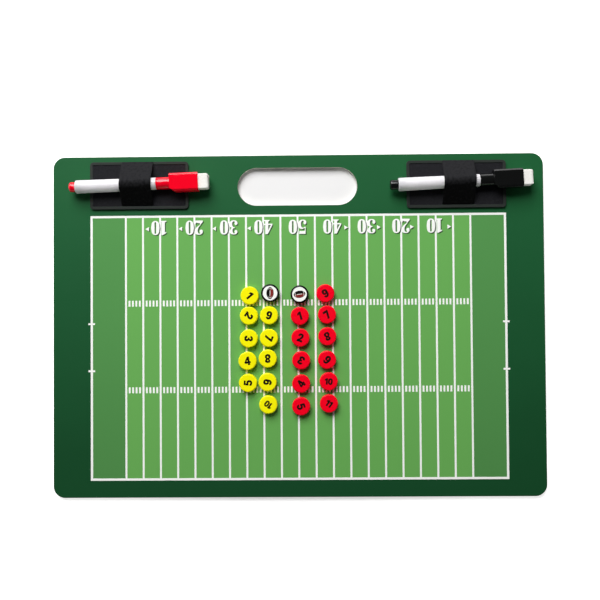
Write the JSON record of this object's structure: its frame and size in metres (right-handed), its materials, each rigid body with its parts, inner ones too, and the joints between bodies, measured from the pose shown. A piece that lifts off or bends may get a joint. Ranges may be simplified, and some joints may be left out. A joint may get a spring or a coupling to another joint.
{
  "type": "tactics board",
  "caption": "Flat magnetic coaching board printed with a gridiron field, with a hand slot, two dry-erase markers held in elastic loops and loose round magnets.",
  "frame": {"origin": "middle of the board's back face, which lies on the table", "axes": "+X along the long side to the right, +Y towards the hand slot, +Z out of the printed face"},
  "size_m": [0.42, 0.292, 0.0186],
  "materials": {
    "printed_film": "satin dry-erase film, printed green",
    "steel": "bare sheet",
    "foam_core": "cut foam board",
    "back_film": "plain film",
    "black_plate": "fine grained, moulded",
    "foam_tape": "foam",
    "black_elastic": "knitted elastic",
    "white_barrel": "glossy moulded",
    "red_plastic": "glossy moulded",
    "black_plastic": "glossy moulded",
    "ink_fibre": "bonded fibre",
    "white_felt": "pressed felt",
    "yellow_magnet": "satin moulded",
    "red_magnet": "satin moulded",
    "black_magnet": "satin moulded"
  },
  "bodies": {
    "board": {"front_sheet": "printed_film", "steel_sheet": "steel", "core_panel": "foam_core", "back_sheet": "back_film", "left_holder_plate": "black_plate", "left_plate_tape": "foam_tape", "left_elastic_loop": "black_elastic", "right_holder_plate": "black_plate", "right_plate_tape": "foam_tape", "right_elastic_loop": "black_elastic"},
    "red_marker": {"red_barrel": "white_barrel", "red_tail_plug": "red_plastic", "red_ink_core": "ink_fibre", "red_nib": "ink_fibre"},
    "red_cap": {"red_cap_shell": "red_plastic", "red_eraser": "white_felt"},
    "black_marker": {"black_barrel": "white_barrel", "black_tail_plug": "black_plastic", "black_ink_core": "ink_fibre", "black_nib": "ink_fibre"},
    "black_cap": {"black_cap_shell": "black_plastic", "black_eraser": "white_felt"},
    "yellow_disc_01": {"yellow_magnet_01": "yellow_magnet"},
    "yellow_disc_02": {"yellow_magnet_02": "yellow_magnet"},
    "yellow_disc_03": {"yellow_magnet_03": "yellow_magnet"},
    "yellow_disc_04": {"yellow_magnet_04": "yellow_magnet"},
    "yellow_disc_05": {"yellow_magnet_05": "yellow_magnet"},
    "yellow_disc_06": {"yellow_magnet_06": "yellow_magnet"},
    "yellow_disc_07": {"yellow_magnet_07": "yellow_magnet"},
    "yellow_disc_08": {"yellow_magnet_08": "yellow_magnet"},
    "yellow_disc_09": {"yellow_magnet_09": "yellow_magnet"},
    "yellow_disc_10": {"yellow_magnet_10": "yellow_magnet"},
    "red_disc_01": {"red_magnet_01": "red_magnet"},
    "red_disc_02": {"red_magnet_02": "red_magnet"},
    "red_disc_03": {"red_magnet_03": "red_magnet"},
    "red_disc_04": {"red_magnet_04": "red_magnet"},
    "red_disc_05": {"red_magnet_05": "red_magnet"},
    "red_disc_06": {"red_magnet_06": "red_magnet"},
    "red_disc_07": {"red_magnet_07": "red_magnet"},
    "red_disc_08": {"red_magnet_08": "red_magnet"},
    "red_disc_09": {"red_magnet_09": "red_magnet"},
    "red_disc_10": {"red_magnet_10": "red_magnet"},
    "red_disc_11": {"red_magnet_11": "red_magnet"},
    "ball_disc_left": {"ball_magnet_left": "black_magnet"},
    "ball_disc_right": {"ball_magnet_right": "black_magnet"}
  },
  "joints": [
    {"name": "red_marker_slide", "type": "slide", "parent": "board", "child": "red_marker", "axis": [0.9994, 0.034, 0], "range_m": [-0.012, 0.075]},
    {"name": "red_cap_pull", "type": "slide", "parent": "red_marker", "child": "red_cap", "axis": [0.9994, 0.034, 0], "range_m": [0, 0.03]},
    {"name": "black_marker_slide", "type": "slide", "parent": "board", "child": "black_marker", "axis": [0.999, 0.0454, 0], "range_m": [-0.012, 0.075]},
    {"name": "black_cap_pull", "type": "slide", "parent": "black_marker", "child": "black_cap", "axis": [0.999, 0.0454, 0], "range_m": [0, 0.03]},
    {"name": "yellow_disc_01_lift", "type": "slide", "parent": "board", "child": "yellow_disc_01", "axis": [0, 0, 1], "range_m": [0, 0.02]},
    {"name": "yellow_disc_02_lift", "type": "slide", "parent": "board", "child": "yellow_disc_02", "axis": [0, 0, 1], "range_m": [0, 0.02]},
    {"name": "yellow_disc_03_lift", "type": "slide", "parent": "board", "child": "yellow_disc_03", "axis": [0, 0, 1], "range_m": [0, 0.02]},
    {"name": "yellow_disc_04_lift", "type": "slide", "parent": "board", "child": "yellow_disc_04", "axis": [0, 0, 1], "range_m": [0, 0.02]},
    {"name": "yellow_disc_05_lift", "type": "slide", "parent": "board", "child": "yellow_disc_05", "axis": [0, 0, 1], "range_m": [0, 0.02]},
    {"name": "yellow_disc_06_lift", "type": "slide", "parent": "board", "child": "yellow_disc_06", "axis": [0, 0, 1], "range_m": [0, 0.02]},
    {"name": "yellow_disc_07_lift", "type": "slide", "parent": "board", "child": "yellow_disc_07", "axis": [0, 0, 1], "range_m": [0, 0.02]},
    {"name": "yellow_disc_08_lift", "type": "slide", "parent": "board", "child": "yellow_disc_08", "axis": [0, 0, 1], "range_m": [0, 0.02]},
    {"name": "yellow_disc_09_lift", "type": "slide", "parent": "board", "child": "yellow_disc_09", "axis": [0, 0, 1], "range_m": [0, 0.02]},
    {"name": "yellow_disc_10_lift", "type": "slide", "parent": "board", "child": "yellow_disc_10", "axis": [0, 0, 1], "range_m": [0, 0.02]},
    {"name": "red_disc_01_lift", "type": "slide", "parent": "board", "child": "red_disc_01", "axis": [0, 0, 1], "range_m": [0, 0.02]},
    {"name": "red_disc_02_lift", "type": "slide", "parent": "board", "child": "red_disc_02", "axis": [0, 0, 1], "range_m": [0, 0.02]},
    {"name": "red_disc_03_lift", "type": "slide", "parent": "board", "child": "red_disc_03", "axis": [0, 0, 1], "range_m": [0, 0.02]},
    {"name": "red_disc_04_lift", "type": "slide", "parent": "board", "child": "red_disc_04", "axis": [0, 0, 1], "range_m": [0, 0.02]},
    {"name": "red_disc_05_lift", "type": "slide", "parent": "board", "child": "red_disc_05", "axis": [0, 0, 1], "range_m": [0, 0.02]},
    {"name": "red_disc_06_lift", "type": "slide", "parent": "board", "child": "red_disc_06", "axis": [0, 0, 1], "range_m": [0, 0.02]},
    {"name": "red_disc_07_lift", "type": "slide", "parent": "board", "child": "red_disc_07", "axis": [0, 0, 1], "range_m": [0, 0.02]},
    {"name": "red_disc_08_lift", "type": "slide", "parent": "board", "child": "red_disc_08", "axis": [0, 0, 1], "range_m": [0, 0.02]},
    {"name": "red_disc_09_lift", "type": "slide", "parent": "board", "child": "red_disc_09", "axis": [0, 0, 1], "range_m": [0, 0.02]},
    {"name": "red_disc_10_lift", "type": "slide", "parent": "board", "child": "red_disc_10", "axis": [0, 0, 1], "range_m": [0, 0.02]},
    {"name": "red_disc_11_lift", "type": "slide", "parent": "board", "child": "red_disc_11", "axis": [0, 0, 1], "range_m": [0, 0.02]},
    {"name": "ball_disc_left_lift", "type": "slide", "parent": "board", "child": "ball_disc_left", "axis": [0, 0, 1], "range_m": [0, 0.02]},
    {"name": "ball_disc_right_lift", "type": "slide", "parent": "board", "child": "ball_disc_right", "axis": [0, 0, 1], "range_m": [0, 0.02]}
  ]
}
